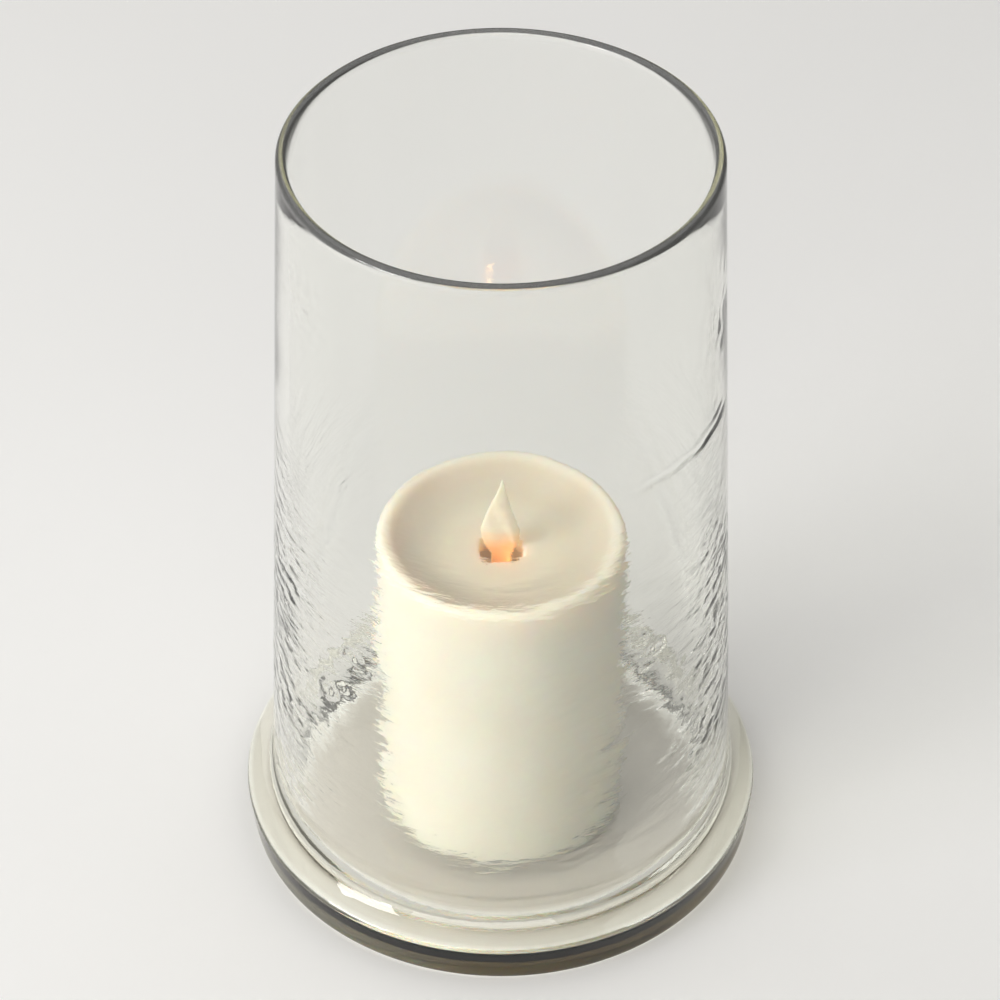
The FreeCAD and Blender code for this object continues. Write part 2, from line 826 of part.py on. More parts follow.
def flame_paddle():
    """The flame-shaped leaf, its tail and the eye for the pivot wire."""
    body = new_body("flame_paddle")
    place(body, z=size("pivot_level"))
    pivot = size("pivot_level")
    tip = size("flame_tip") - pivot
    shoulder = size("flame_shoulder") - pivot
    wide = size("flame_half_width")
    waist = size("flame_waist")
    tail = size("tail_level") - pivot
    hip = size("dish_level") - pivot
    right = [
        (waist, tail),
        (waist, hip - 2, size("flame_half_width") * 3),
        (wide, shoulder, wide * 2),
        (wide * 0.68, shoulder + (tip - shoulder) * 0.38, -wide * 5),
        (0.5, tip - 0.5, 0.5),
    ]
    left = [
        (0, tip, 0.5),
        (-0.5, tip - 0.5, -wide * 5),
        (-wide * 0.68, shoulder + (tip - shoulder) * 0.38, wide * 2),
        (-wide, shoulder, size("flame_half_width") * 3),
        (-waist, hip - 2),
        (-waist, tail),
    ]
    pad(body, outline(body, "leaf", "XZ_Plane", right + left), size("flame_thickness"), midplane=True)
    eye = circles(body, "eye", "XZ_Plane", [(0, 0)], size("wire_radius") + size("wire_fit"))
    cut(body, eye, size("flame_thickness") * 2, midplane=True)


def flame_magnet():
    """The magnet that the coil pulls, which also keeps the flame upright."""
    magnet = cylinder("magnet_disc", size("magnet_radius"), size("magnet_height"),
                      (0, 0, size("tail_level") - size("magnet_height")))
    finish_primitive(magnet, "flame_magnet")


def lamp_rotation():
    """The turn that points the lamp's own +Z at the glowing part of the flame."""
    rise = size("glow_level") - size("led_level")
    aim = Vector(-size("led_side").value, -size("led_front").value, rise.value)
    return Rotation(Vector(0, 0, 1), aim)


def lamp_point(along):
    """A point on the lamp's axis, a distance in front of its flange."""
    reach = as_length(along)
    direction = lamp_rotation().multVec(Vector(0, 0, 1))
    return (
        size("led_side") + reach * direction.x,
        size("led_front") + reach * direction.y,
        size("led_level") + reach * direction.z,
    )


def warm_led():
    """A 3 mm lamp with a domed end."""
    barrel = cylinder("led_barrel", size("led_radius"), size("led_length") - size("led_radius"),
                      lamp_point(0), lamp_rotation())
    flange = cylinder("led_rim", size("led_radius") + size("led_flange"), 0.8, lamp_point(0), lamp_rotation())
    dome = doc.addObject("Part::Sphere", "led_dome")
    bind(dome, Radius=size("led_radius"))
    place(dome, *lamp_point(size("led_length") - size("led_radius")))
    finish_primitive(fuse("led", [barrel, flange, dome]), "warm_led")


def led_holder():
    """A sleeve round the lamp with an arm to the tower's wall."""
    outside = size("led_radius") + size("led_holder_wall")
    length = size("led_holder_length")
    sleeve = cylinder("holder_sleeve", outside, length, lamp_point(0.8), lamp_rotation())
    arm_side = math.degrees(math.atan2(size("led_front").value, size("led_side").value))
    arm = doc.addObject("Part::Box", "holder_arm")
    near = math.hypot(size("led_side").value, size("led_front").value) + size("led_radius").value * 0.4
    arm_length = size("tower_radius") - size("tower_wall") - near - 0.1
    bind(arm, Length=arm_length, Width=3, Height=length)
    turn = Rotation(Vector(0, 0, 1), arm_side)
    corner = turn.multVec(Vector(near, -1.5, 0))
    arm.Placement.Rotation = turn
    place(arm, corner.x, corner.y, size("led_level") + 0.4)
    bore = cylinder("holder_bore", size("led_radius") + 0.03, length * 3,
                    lamp_point(-length), lamp_rotation())
    clear = cylinder("holder_relief", size("led_radius") + size("led_flange") + 0.05, length,
                     lamp_point(-length + 0.8), lamp_rotation())
    solid = fuse("holder_solid", [sleeve, arm])
    finish_primitive(subtract("holder", solid, fuse("holder_space", [bore, clear])), "led_holder")


def led_legs():
    """The lamp's two bare legs, from its flange down to the board."""
    direction = lamp_rotation()
    for index, side in enumerate((0.64, -0.64)):
        offset = direction.multVec(Vector(side, 0, 0))
        head = Vector(size("led_side").value, size("led_front").value, size("led_level").value) + offset
        foot = Vector(head.x - offset.x + 2.8, head.y - offset.y + side * 1.2 - 1.6, BOARD_TOP.value)
        bend = Vector(head.x, head.y, head.z) - direction.multVec(Vector(0, 0, 3))
        knee = Vector(foot.x, foot.y, foot.z + 4)
        path = Part.Wire([Part.makeLine(head, bend), Part.makeLine(bend, knee), Part.makeLine(knee, foot)])
        section = Part.Wire([Part.makeCircle(0.25, head, bend - head)])
        leg = doc.addObject("Part::Feature", f"led_leg_{index + 1}")
        leg.Shape = path.makePipeShell([section], True, True, 2)
        leg.Placement = FreeCAD.Placement(Vector(0, 0, 0), Rotation())
        finish_primitive(leg, f"led_leg_{index + 1}")


# ---------------------------------------------------------------- the assembly

hurricane_glass()
wax_shell()
core_sleeve()
base_plate()
battery_cover()
base_screws()
battery_box()
aa_cell("aa_cell_rear", 1, True)
aa_cell("aa_cell_front", -1, False)
positive_contact()
negative_contact()
bridge_contact()
switch_body()
switch_knob()
circuit_board()
board_screws()
control_chip()
board_parts()
coil()
flame_tower()
pivot_wire()
flame_paddle()
flame_magnet()
warm_led()
led_holder()
led_legs()
SWITCH_TOP = PLATE_TOP + size("switch_height")
for lead_name, lead_side in (("switch_lead_rear", 1), ("switch_lead_front", -1)):
    lead(lead_name, size("switch_offset"), size("switch_length") * 0.3 * lead_side, SWITCH_TOP,
         size("board_level"), -6)

doc.recompute()
for item in doc.Objects:
    if {"Invalid", "Error"} & set(item.State):
        raise RuntimeError(f"{item.Name} failed: {item.State}")
os.makedirs("parts", exist_ok=True)
for part in SUBPARTS:
    if part.Shape.isNull() or not part.Shape.isValid():
        raise RuntimeError(f"{part.Label} has no valid shape")
    part.Shape.exportStep(f"parts/{part.Label}.step")
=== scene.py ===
"""Looks for the hurricane candle lantern: a rippled hand-blown glass with a flameless candle in it."""
import json
import math
import bpy
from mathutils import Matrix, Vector, noise


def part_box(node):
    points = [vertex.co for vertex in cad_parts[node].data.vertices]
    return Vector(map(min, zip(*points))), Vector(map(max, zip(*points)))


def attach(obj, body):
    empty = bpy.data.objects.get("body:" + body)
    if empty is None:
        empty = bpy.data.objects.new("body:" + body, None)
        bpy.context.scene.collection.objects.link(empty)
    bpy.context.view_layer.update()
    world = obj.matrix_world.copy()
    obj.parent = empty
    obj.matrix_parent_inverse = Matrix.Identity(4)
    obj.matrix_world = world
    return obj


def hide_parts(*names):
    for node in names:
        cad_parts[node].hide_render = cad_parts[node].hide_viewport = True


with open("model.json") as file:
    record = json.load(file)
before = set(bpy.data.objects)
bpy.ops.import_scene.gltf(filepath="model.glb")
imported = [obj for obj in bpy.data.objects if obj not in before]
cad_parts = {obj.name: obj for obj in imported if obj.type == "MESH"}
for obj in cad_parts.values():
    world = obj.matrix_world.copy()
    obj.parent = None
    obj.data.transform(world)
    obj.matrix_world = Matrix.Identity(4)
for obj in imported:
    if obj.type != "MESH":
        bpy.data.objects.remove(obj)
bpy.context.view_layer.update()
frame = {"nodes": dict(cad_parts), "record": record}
NODES = frame["nodes"]
MM = 0.001


# ---------------------------------------------------------------- mesh helpers

def make_mesh(name, points, faces, smooth=True):
    """A mesh object from points in metres."""
    mesh = bpy.data.meshes.new(name)
    mesh.from_pydata([tuple(point) for point in points], [], faces)
    mesh.validate()
    mesh.update()
    if smooth:
        mesh.polygons.foreach_set("use_smooth", [True] * len(mesh.polygons))
    piece = bpy.data.objects.new(name, mesh)
    bpy.context.scene.collection.objects.link(piece)
    return piece


def arc(centre, radius, start, end, steps):
    """Points of (radius, height) round an arc, with angles in degrees."""
    angles = [math.radians(start + (end - start) * step / steps) for step in range(steps + 1)]
    return [(centre[0] + radius * math.cos(turn), centre[1] + radius * math.sin(turn)) for turn in angles]


def straight(start, end, steps):
    """Evenly spaced points of (radius, height), without the last one."""
    across = (end[0] - start[0]) / steps
    rise = (end[1] - start[1]) / steps
    return [(start[0] + across * step, start[1] + rise * step) for step in range(steps)]


def turned(name, rows, segments, shape):
    """A closed turned solid. rows run from axis to axis, and shape moves each of their points."""
    points = []
    for radius, height in rows[1:-1]:
        for step in range(segments):
            angle = 2 * math.pi * step / segments
            r, z = shape(angle, radius, height)
            points.append((r * math.cos(angle), r * math.sin(angle), z))
    faces = []
    count = len(rows) - 2
    for row in range(count - 1):
        for step in range(segments):
            a = row * segments + step
            b = row * segments + (step + 1) % segments
            faces.append((a, b, b + segments, a + segments))
    first = len(points)
    points.append((0, 0, rows[0][1] * MM))
    points.append((0, 0, rows[-1][1] * MM))
    last_row = (count - 1) * segments
    for step in range(segments):
        after = (step + 1) % segments
        faces.append((first, after, step))
        faces.append((first + 1, last_row + step, last_row + after))
    return make_mesh(name, points, faces)


def smooth_step(low, high, value):
    """0 below low, 1 above high and a smooth rise between."""
    share = min(max((value - low) / (high - low), 0.0), 1.0)
    return share * share * (3 - 2 * share)


# ---------------------------------------------------------------- material helpers

class Shader:
    """A material with a Principled shader and short ways to add nodes to it."""

    def __init__(self, name, **sockets):
        self.material = bpy.data.materials.new(name)
        self.material.use_nodes = True
        self.tree = self.material.node_tree
        self.base = self.tree.nodes["Principled BSDF"]
        self.output = self.tree.nodes["Material Output"]
        for socket, value in sockets.items():
            self.base.inputs[socket.replace("_", " ")].default_value = value

    def node(self, kind, **settings):
        made = self.tree.nodes.new(f"ShaderNode{kind}")
        for key, value in settings.items():
            setattr(made, key, value)
        return made

    def link(self, source, target):
        self.tree.links.new(source, target)

    def place(self, scale=(1, 1, 1)):
        """Coordinates in the object's own frame, in metres times a scale."""
        coordinates = self.node("TexCoord")
        mapping = self.node("Mapping")
        mapping.inputs["Scale"].default_value = scale
        self.link(coordinates.outputs["Object"], mapping.inputs["Vector"])
        return mapping.outputs["Vector"]

    def noise(self, scale, detail=4.0, roughness=0.55, stretch=(1, 1, 1)):
        made = self.node("TexNoise")
        made.inputs["Scale"].default_value = scale
        made.inputs["Detail"].default_value = detail
        made.inputs["Roughness"].default_value = roughness
        self.link(self.place(stretch), made.inputs["Vector"])
        return made.outputs["Fac"]

    def ramp(self, source, stops):
        """Colours or grey levels along a value."""
        made = self.node("ValToRGB")
        while len(made.color_ramp.elements) < len(stops):
            made.color_ramp.elements.new(0.5)
        for element, (position, colour) in zip(made.color_ramp.elements, stops):
            element.position = position
            element.color = colour if len(colour) == 4 else (*colour, 1)
        self.link(source, made.inputs["Fac"])
        return made.outputs["Color"]

    def levels(self, source, low, high):
        """Spread a 0 to 1 value between two numbers."""
        made = self.node("MapRange")
        made.inputs["To Min"].default_value = low
        made.inputs["To Max"].default_value = high
        self.link(source, made.inputs["Value"])
        return made.outputs["Result"]

    def bump(self, height, distance, strength=1.0, under=None):
        made = self.node("Bump")
        made.inputs["Distance"].default_value = distance
        made.inputs["Strength"].default_value = strength
        self.link(height, made.inputs["Height"])
        if under is not None:
            self.link(under, made.inputs["Normal"])
        return made.outputs["Normal"]

    def colour(self, source):
        self.link(source, self.base.inputs["Base Color"])

    def roughness(self, source):
        self.link(source, self.base.inputs["Roughness"])

    def normal(self, source):
        self.link(source, self.base.inputs["Normal"])

    def span(self, source, start, end):
        """0 where the source is at start and 1 where it is at end."""
        made = self.node("MapRange")
        made.inputs["From Min"].default_value = start
        made.inputs["From Max"].default_value = end
        self.link(source, made.inputs["Value"])
        return made.outputs["Result"]

    def maths(self, operation, first, second):
        """Combine a source with a number or with another source."""
        made = self.node("Math", operation=operation)
        self.link(first, made.inputs[0])
        if isinstance(second, (int, float)):
            made.inputs[1].default_value = second
        else:
            self.link(second, made.inputs[1])
        return made.outputs[0]

    def height(self, low, high):
        """0 at one height of the object and 1 at another, in metres."""
        split = self.node("SeparateXYZ")
        self.link(self.place(), split.inputs["Vector"])
        return self.span(split.outputs["Z"], low, high)

    def reach(self, centre=(0, 0, 0), stretch=(1, 1, 1)):
        """The distance from a point, in metres."""
        shift = self.node("VectorMath", operation="SUBTRACT")
        self.link(self.place(stretch), shift.inputs[0])
        shift.inputs[1].default_value = centre
        length = self.node("VectorMath", operation="LENGTH")
        self.link(shift.outputs[0], length.inputs[0])
        return length.outputs["Value"]


def give(piece, shader):
    """Make this the piece's only material."""
    piece.data.materials.clear()
    piece.data.materials.append(shader.material)


# ---------------------------------------------------------------- hurricane glass

GLASS_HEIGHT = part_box("hurricane_glass")[1].z / MM
FOOT_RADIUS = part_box("hurricane_glass")[1].x / MM
RIM_RADIUS = 61.6
RIM_WALL = 3.2
NECK_RADIUS = 72.0
NECK_LEVEL = 27.0
NECK_WALL = 3.9
GLASS_FLOOR = 4.5
FLOOR_ROUND = 9.0
GLASS_SEGMENTS = 320
RIPPLE_TOP = 176.0
# Base colours. Painted shade darkens the foot's outer face, lighter towards the lit left side, and the floor
# takes the tint of thick glass deepened by painted shade.
CLEAR = (0.985, 0.99, 0.98)
THICK_GLASS_AND_SHADE = (0.75, 0.725, 0.69)
FACE_SHADE_LIT = (0.055, 0.052, 0.038)
FACE_SHADE_DEEP = (0.014, 0.0085, 0.0028)
SHADOW_COLOUR = (0.874, 0.876, 0.864, 1)


def wall_radius(height):
    """The outer radius of the tapering wall."""
    share = (height - NECK_LEVEL) / (GLASS_HEIGHT - RIM_WALL / 2 - NECK_LEVEL)
    return NECK_RADIUS + (RIM_RADIUS - NECK_RADIUS) * share


def glass_rows():
    """The glass's profile in millimetres, from the centre of its underside to the centre of its floor."""
    rim_start = GLASS_HEIGHT - RIM_WALL / 2
    inner_neck = NECK_RADIUS - NECK_WALL
    rows = straight((0, 0.5), (62, 0.4), 4)
    rows += straight((62, 0.4), (68, 0), 4)
    rows += straight((68, 0), (78, 0), 5)
    rows += arc((78.3, 1.4), 1.4, -90, -12, 5)
    rows += straight((79.8, 2.2), (80.9, 11.4), 8)
    rows += arc((FOOT_RADIUS - 2.35, 12.0), 2.3, 0, 62, 6)
    rows += arc((87.2, 27.5), 15.3, 226, 181, 12)
    rows += straight((wall_radius(29), 29), (wall_radius(RIPPLE_TOP), RIPPLE_TOP), 170)
    rows += straight((wall_radius(RIPPLE_TOP), RIPPLE_TOP), (RIM_RADIUS, rim_start), 34)
    rows += arc((RIM_RADIUS - RIM_WALL / 2, rim_start), RIM_WALL / 2, 0, 180, 10)
    inner_foot = (inner_neck, GLASS_FLOOR + FLOOR_ROUND + 1)
    rows += straight((RIM_RADIUS - RIM_WALL - 0.1, rim_start - 2), inner_foot, 34)
    rows += arc((inner_neck - FLOOR_ROUND, GLASS_FLOOR + FLOOR_ROUND), FLOOR_ROUND, 0, -90, 8)
    rows += straight((inner_neck - FLOOR_ROUND - 2, GLASS_FLOOR), (0, GLASS_FLOOR), 6)
    rows.append((0, GLASS_FLOOR))
    return rows


def field(angle, radius, height, across, along, seed):
    """Smooth noise that is long round the glass and short up it. The lengths are in millimetres."""
    return noise.noise(Vector((
        radius * math.cos(angle) / across + seed,
        radius * math.sin(angle) / across - seed,
        height / along + seed * 1.7,
    )))


# Long chill creases: start and end azimuth in degrees, height, depth and half width in millimetres.
CREASES = [
    (-13, -56, 173.0, 0.34, 0.9),
    (-160, -138, 118.0, 0.22, 0.8),
    (-168, -146, 131.0, 0.20, 0.8),
    (-30, -8, 104.0, 0.24, 0.8),
    (-34, -12, 66.0, 0.22, 0.8),
    (-165, -140, 74.0, 0.22, 0.8),
]
# Ring blisters: azimuth in degrees, height, ring radius and depth in millimetres.
BLISTERS = [
    (-129, 110.0, 2.1, 0.30),
    (-126, 106.5, 1.5, 0.26),
    (-137, 91.0, 2.6, 0.24),
    (-131, 95.0, 1.8, 0.24),
    (-49, 112.0, 2.2, 0.30),
    (-52, 108.0, 1.6, 0.26),
    (-54, 118.0, 1.5, 0.20),
    (-46, 63.0, 2.4, 0.28),
    (-42, 66.0, 1.6, 0.24),
    (140, 92.0, 2.2, 0.26),
    (60, 70.0, 2.0, 0.26),
]
# Patches of short chill marks: azimuth, its reach in degrees, height and its reach in millimetres.
PATCHES = [
    (-166, 22, 112.0, 20.0),
    (-160, 20, 64.0, 11.0),
    (-165, 22, 38.0, 9.0),
    (-145, 9, 222.0, 8.0),
    (-14, 20, 118.0, 13.0),
    (-12, 20, 84.0, 20.0),
    (-26, 14, 58.0, 12.0),
    (-10, 16, 205.0, 7.0),
]


def chill_patch(azimuth, height):
    """How strongly a patch of short marks shows here, from 0 to 1."""
    most = 0.0
    for centre, sweep, level, tall in PATCHES:
        across = (azimuth - centre + 180) % 360 - 180
        most = max(most, math.exp(-(across / sweep) ** 2 - ((height - level) / tall) ** 2))
    return most


def crease_depth(azimuth, height):
    """How far the long creases sink the wall here."""
    depth = 0.0
    for start, end, level, most, half_width in CREASES:
        low, high = min(start, end), max(start, end)
        if not low - 2 < azimuth < high + 2:
            continue
        fade = smooth_step(low - 2, low + 6, azimuth) * (1 - smooth_step(high - 6, high + 2, azimuth))
        wander = level + 1.6 * noise.noise(Vector((azimuth / 9, level, 0)))
        depth += most * fade * math.exp(-((height - wander) / half_width) ** 2)
    return depth


def blister_depth(azimuth, radius, height):
    """The raised rings left by burst bubbles."""
    depth = 0.0
    for centre, level, ring, most in BLISTERS:
        across = math.radians(azimuth - centre) * radius
        away = math.hypot(across, height - level)
        if away < ring + 3:
            depth += most * math.exp(-((away - ring) / 0.75) ** 2)
    return depth


def ripple(angle, radius, height):
    """How far the outside of the wall stands in from its smooth profile, in millimetres."""
    azimuth = math.degrees(angle)
    azimuth = azimuth - 360 if azimuth > 180 else azimuth
    rear = smooth_step(0.1, 0.7, math.sin(angle))
    zone = smooth_step(20 + 22 * rear, 36 + 30 * rear, height) * (1 - smooth_step(118, RIPPLE_TOP, height))
    zone *= 1 - 0.6 * rear
    drift = height + 3.0 * field(angle, radius, height, 20, 30, 3.1)
    patch = smooth_step(-0.08, 0.34, field(angle, radius, height, 21, 17, 7.7))
    fine = field(angle, radius, drift, 8.5, 3.0, 1.3)
    chill = max(0.0, 1 - abs(fine) / 0.27) ** 1.5
    wave = field(angle, radius, drift, 13, 5.5, 5.9)
    broad = field(angle, radius, height, 34, 30, 9.2)
    depth = zone * (0.12 * chill * (0.10 + 0.90 * patch) + 0.12 * wave) + (0.03 + 0.09 * zone) * broad
    depth += 0.30 * chill_patch(azimuth, height) * chill
    return depth + crease_depth(azimuth, height) - blister_depth(azimuth, radius, height)


def glass_shape(angle, radius, height):
    """Moves a point of the smooth profile to where the blown glass has it."""
    x, y = math.cos(angle), math.sin(angle)
    if height < 1.0:
        return radius * MM, height * MM
    on_inside = radius < wall_radius(height) - RIM_WALL * 0.8
    if on_inside:
        near_wall = smooth_step(50, 62, radius) if height < 20 else 1.0
        zone = 1 - smooth_step(110, 185, height)
        swell = (0.03 + 0.12 * zone) * field(angle, radius, height, 24, 16, 4.4)
        swell += 0.03 * zone * field(angle, radius, height, 9, 6, 2.2)
        return (radius + swell * near_wall) * MM, height * MM
    if height < NECK_LEVEL:
        sag = 0.35 * noise.noise(Vector((x * 1.6, y * 1.6, 0.4))) - 0.35
        share = smooth_step(2, 8, height)
        return (radius + sag * share) * MM, (height + 0.9 * sag * share) * MM
    rim_fade = 1 - smooth_step(GLASS_HEIGHT - 8, GLASS_HEIGHT - 2, height)
    rim_dip = 0.25 * (noise.noise(Vector((x * 1.3, y * 1.3, 2.2))) - 0.5) * (1 - rim_fade)
    return (radius - ripple(angle, radius, height) * rim_fade) * MM, (height + rim_dip) * MM


def clear_glass():
    """Faintly grey-green glass, darker where it is thick, with painted shade on the foot's outer face and
    floor. Lamps reach through it by a stand-in.
    """
    glass = Shader("clear_glass", IOR=1.5)
    radius = glass.reach(stretch=(1, 1, 0))
    below_lip = glass.height(0.0118, 0.0106)
    below_floor = glass.height(0.0060, 0.0052)
    # Painted shade: the foot's outer face is darkened where light enters it, less towards the lit left side.
    face = glass.maths("MULTIPLY", glass.span(radius, 0.0786, 0.0792), below_lip)
    # Painted shade: the floor is tinted darker for the shadowed table seen through it, on top of the tint of
    # thick glass.
    floor_shade = glass.maths("MULTIPLY", glass.span(radius, 0.068, 0.060), below_floor)
    along = glass.node("SeparateXYZ")
    glass.link(glass.place(), along.inputs["Vector"])
    left = glass.maths("MULTIPLY", glass.span(along.outputs["X"], -0.01, -0.07), -0.2)
    entering = glass.levels(glass.node("NewGeometry").outputs["Backfacing"], 1.0, 0.0)
    entered = glass.maths("MULTIPLY", face, entering)
    dark = glass.maths("MULTIPLY", entered, glass.maths("ADD", left, 1.0))
    flare = glass.maths("MULTIPLY", glass.span(radius, 0.0725, 0.0745), glass.span(radius, 0.0798, 0.0788))
    upper = glass.maths("MULTIPLY", flare, glass.height(0.0110, 0.0118))
    pale = glass.maths("MAXIMUM", floor_shade, upper)
    depth = glass.maths("MAXIMUM", dark, glass.maths("MULTIPLY", pale, 0.5))
    glass.colour(glass.ramp(depth, [
        (0.0, CLEAR), (0.5, THICK_GLASS_AND_SHADE), (0.8, FACE_SHADE_LIT), (1.0, FACE_SHADE_DEEP)]))
    rim = glass.height(0.2470, 0.2485)
    glass.roughness(glass.maths("MULTIPLY", rim, 0.12))
    glass.link(glass.levels(rim, 1.0, 0.87), glass.base.inputs["Transmission Weight"])
    streaks = glass.noise(1.0, detail=3, stretch=(150, 150, 520))
    zone = glass.ramp(glass.height(0.02, 0.2), [
        (0.0, (0.2, 0.2, 0.2)), (0.12, (1, 1, 1)), (0.6, (1, 1, 1)), (0.85, (0.06, 0.06, 0.06))])
    glass.normal(glass.bump(glass.maths("MULTIPLY", streaks, zone), 0.00009))
    absorb = glass.node("VolumeAbsorption")
    absorb.inputs["Color"].default_value = (0.78, 0.77, 0.64, 1)
    absorb.inputs["Density"].default_value = 14.0
    glass.link(absorb.outputs[0], glass.output.inputs["Volume"])
    through = glass.node("BsdfTransparent")
    through.inputs["Color"].default_value = SHADOW_COLOUR
    lamp_ray = glass.node("LightPath")
    mix = glass.node("MixShader")
    glass.link(lamp_ray.outputs["Is Shadow Ray"], mix.inputs[0])
    glass.link(glass.base.outputs[0], mix.inputs[1])
    glass.link(through.outputs[0], mix.inputs[2])
    glass.link(mix.outputs[0], glass.output.inputs["Surface"])
    return glass


def build_glass():
    piece = turned("blown_glass", glass_rows(), GLASS_SEGMENTS, glass_shape)
    give(piece, clear_glass())
    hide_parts("hurricane_glass")
    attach(piece, "vessel")


# ---------------------------------------------------------------- candle

CANDLE_LOW, CANDLE_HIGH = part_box("wax_shell")
CANDLE_RADIUS = CANDLE_HIGH.x / MM
CANDLE_TOP = CANDLE_HIGH.z / MM
CANDLE_BOTTOM = CANDLE_LOW.z / MM
WAX_BORE = 32.2
WAX_ROOF = 100.0
DISH_LEVEL = 105.4
SLOT_HALF_WIDTH = 6.6
SLOT_HALF_DEPTH = 5.9


def slot_radius(angle, x_half, y_half):
    """The radius of a rounded slot at an angle."""
    power = 3.2
    across = abs(math.cos(angle) / x_half) ** power
    along = abs(math.sin(angle) / y_half) ** power
    return (across + along) ** (-1 / power)


def build_wax():
    """The wax shell: a pillar with a soft raised rim, a dished top and a slot for the flame."""
    segments = 192
    top, outer = CANDLE_TOP, CANDLE_RADIUS
    outside = []
    outside += [(17, DISH_LEVEL + 0.7), (20, DISH_LEVEL + 1.0), (23, DISH_LEVEL + 1.5)]
    outside += [(26, DISH_LEVEL + 2.3)]
    outside += [(28.5, DISH_LEVEL + 3.3), (30.5, DISH_LEVEL + 4.4), (32.2, DISH_LEVEL + 5.6)]
    outside += [(33.6, top - 0.55), (34.8, top - 0.12)]
    outside += arc((outer - 2.6, top - 2.65), 2.6, 80, 0, 7)
    outside += straight((outer, top - 4), (outer, CANDLE_BOTTOM + 2), 44)
    outside += arc((outer - 1.2, CANDLE_BOTTOM + 1.2), 1.2, 0, -90, 4)
    outside += [(WAX_BORE + 0.5, CANDLE_BOTTOM), (WAX_BORE, CANDLE_BOTTOM + 0.5)]
    outside += straight((WAX_BORE, CANDLE_BOTTOM + 4), (WAX_BORE, WAX_ROOF), 10)
    outside += [(WAX_BORE - 0.4, WAX_ROOF), (22, WAX_ROOF)]
    inner = [(0, WAX_ROOF), (0, WAX_ROOF + 1.5), (0, WAX_ROOF + 3.2), (0, DISH_LEVEL - 0.7)]
    inner += [(0.12, DISH_LEVEL - 0.25), (0.45, DISH_LEVEL)]
    inner += [(1.4, DISH_LEVEL + 0.12), (3.5, DISH_LEVEL + 0.3)]
    points, faces = [], []
    for reach, height in inner:
        for step in range(segments):
            angle = 2 * math.pi * step / segments
            radius = slot_radius(angle, SLOT_HALF_WIDTH, SLOT_HALF_DEPTH) + reach
            points.append((radius * math.cos(angle) * MM, radius * math.sin(angle) * MM, height * MM))
    for radius, height in outside:
        for step in range(segments):
            angle = 2 * math.pi * step / segments
            r, z = wax_shape(angle, radius, height)
            points.append((r * math.cos(angle), r * math.sin(angle), z))
    count = len(inner) + len(outside)
    for row in range(count):
        after = (row + 1) % count
        for step in range(segments):
            side = (step + 1) % segments
            faces.append((row * segments + step, row * segments + side,
                          after * segments + side, after * segments + step))
    piece = make_mesh("wax_pillar", points, [tuple(reversed(face)) for face in faces])
    give(piece, ivory_wax())
    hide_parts("wax_shell")
    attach(piece, "candle")


def wax_shape(angle, radius, height):
    """Cast wax is never quite round or level."""
    x, y = math.cos(angle), math.sin(angle)
    outside = smooth_step(31, 36, radius)
    swell = 0.22 * (noise.noise(Vector((x * 1.4, y * 1.4, height / 28))) - 0.6) * outside
    swell += 0.05 * noise.noise(Vector((x * 7, y * 7, height / 6))) * outside
    if height < CANDLE_BOTTOM + 1:
        return (radius + swell) * MM, height * MM
    high = smooth_step(WAX_ROOF, DISH_LEVEL, height)
    lift = 0.35 * (noise.noise(Vector((x * radius / 19, y * radius / 19, 3.0))) - 0.55) * high
    return (radius + swell) * MM, (height + lift) * MM


def ivory_wax():
    wax = Shader(
        "ivory_wax",
        Roughness=0.42,
        IOR=1.44,
        Subsurface_Weight=0.85,
        Subsurface_Scale=0.012,
        Subsurface_Radius=(1.0, 0.62, 0.34),
        Specular_IOR_Level=0.45,
    )
    cloud = wax.noise(38, detail=3)
    pale = wax.ramp(cloud, [(0.3, (0.765, 0.71, 0.59)), (0.7, (0.805, 0.755, 0.645))])
    # Painted shade: the dish inside the rim is darkened, least near the slot.
    dish_shade = wax.ramp(wax.span(wax.reach(stretch=(1, 1, 0)), 0.016, 0.036), [
        (0.0, (0.90, 0.865, 0.80)), (0.35, (0.80, 0.76, 0.70)), (0.80, (0.78, 0.74, 0.68)), (1.0, (1, 1, 1))])
    top = wax.node("MixRGB", blend_type="MULTIPLY")
    wax.link(wax.height(0.1040, 0.1050), top.inputs["Fac"])
    wax.link(pale, top.inputs["Color1"])
    wax.link(dish_shade, top.inputs["Color2"])
    wax.colour(top.outputs["Color"])
    wax.roughness(wax.levels(wax.noise(260, detail=5), 0.34, 0.52))
    fine = wax.bump(wax.noise(900, detail=4), 0.00004, 0.6)
    wax.normal(wax.bump(wax.noise(90, detail=3), 0.00030, 0.7, under=fine))
    # Painted light: orange emission round the slot stands in for the lamp's light on the wax.
    near = wax.span(wax.reach((0, 0, 0.099)), 0.0140, 0.0050)
    painted_glow = wax.maths("MULTIPLY", wax.maths("POWER", near, 2.0), 0.34)
    wax.base.inputs["Emission Color"].default_value = (1.0, 0.42, 0.12, 1)
    wax.link(painted_glow, wax.base.inputs["Emission Strength"])
    return wax


# ---------------------------------------------------------------- flame

FLAME_LOW, FLAME_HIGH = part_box("flame_paddle")
FLAME_BASE = 103.0
FLAME_TIP = FLAME_HIGH.z / MM
FLAME_HALF_WIDTH = FLAME_HIGH.x / MM
FLAME_WAIST = 3.0
FLAME_BELLY = 0.31


def flame_width(height):
    """Half the flame's width at a height, in millimetres."""
    if height < FLAME_BASE:
        return FLAME_WAIST
    share = (height - FLAME_BASE) / (FLAME_TIP - FLAME_BASE)
    if share < FLAME_BELLY:
        return FLAME_WAIST + (FLAME_HALF_WIDTH - FLAME_WAIST) * math.sin(math.pi / 2 * share / FLAME_BELLY)
    tail = (share - FLAME_BELLY) / (1 - FLAME_BELLY)
    return FLAME_HALF_WIDTH * (1 - tail) ** 1.25 * (1 + 0.35 * tail) + 0.22


